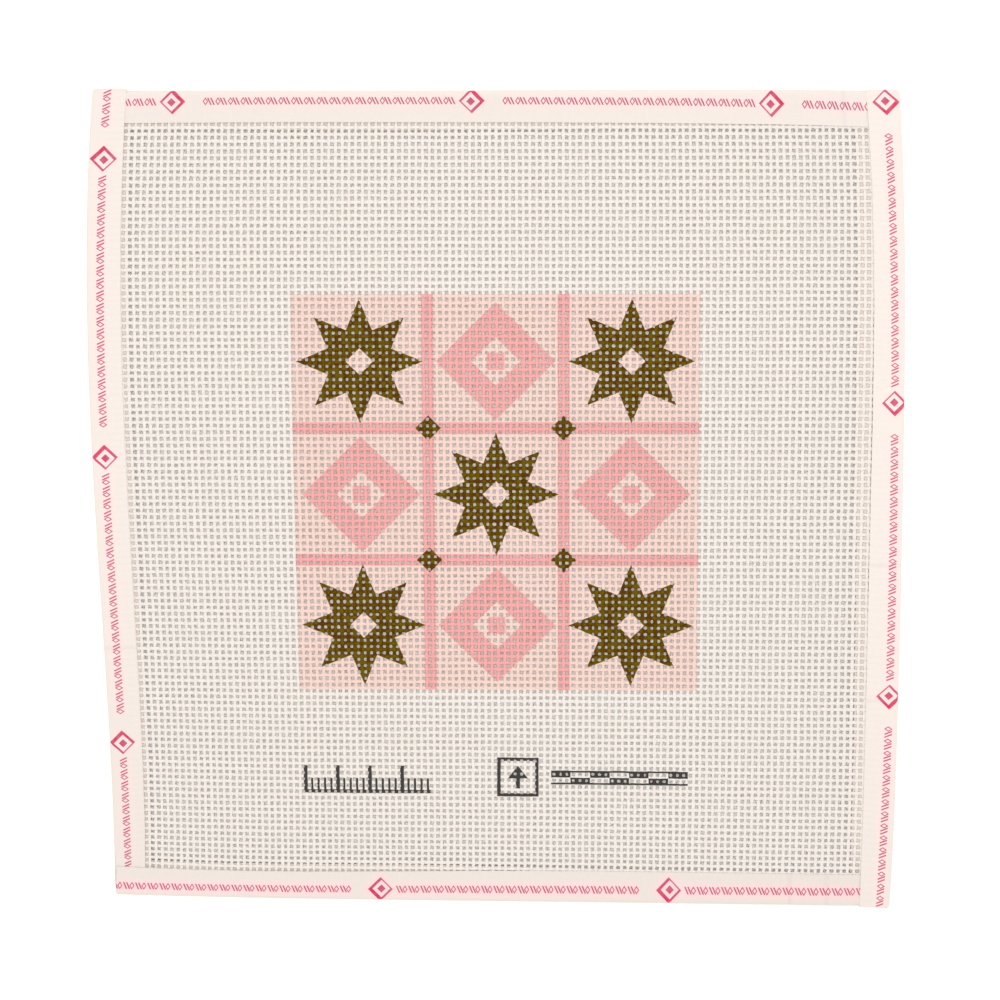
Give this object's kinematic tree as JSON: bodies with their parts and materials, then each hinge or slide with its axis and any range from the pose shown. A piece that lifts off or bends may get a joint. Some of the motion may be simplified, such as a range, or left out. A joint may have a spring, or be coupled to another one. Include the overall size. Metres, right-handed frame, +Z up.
{
  "type": "needlepoint canvas panel",
  "caption": "Flat square of printed mono canvas with its raw edges bound in folded cloth tape, for needlepoint.",
  "frame": {"origin": "on the surface that the panel lies on, under the middle of its outline", "axes": "+X to the right of the print, +Y to its top, +Z up out of the printed face"},
  "size_m": [0.2592, 0.2644, 0.0036],
  "materials": {
    "canvas": "stiffened open cotton weave, matt, with a printed square in the middle",
    "binding_tape": "fine cotton tape, matt, cream pink with a printed line"
  },
  "bodies": {
    "root": {"canvas": "canvas", "tape_left": "binding_tape", "tape_right": "binding_tape", "tape_bottom": "binding_tape", "tape_top": "binding_tape"}
  },
  "joints": []
}
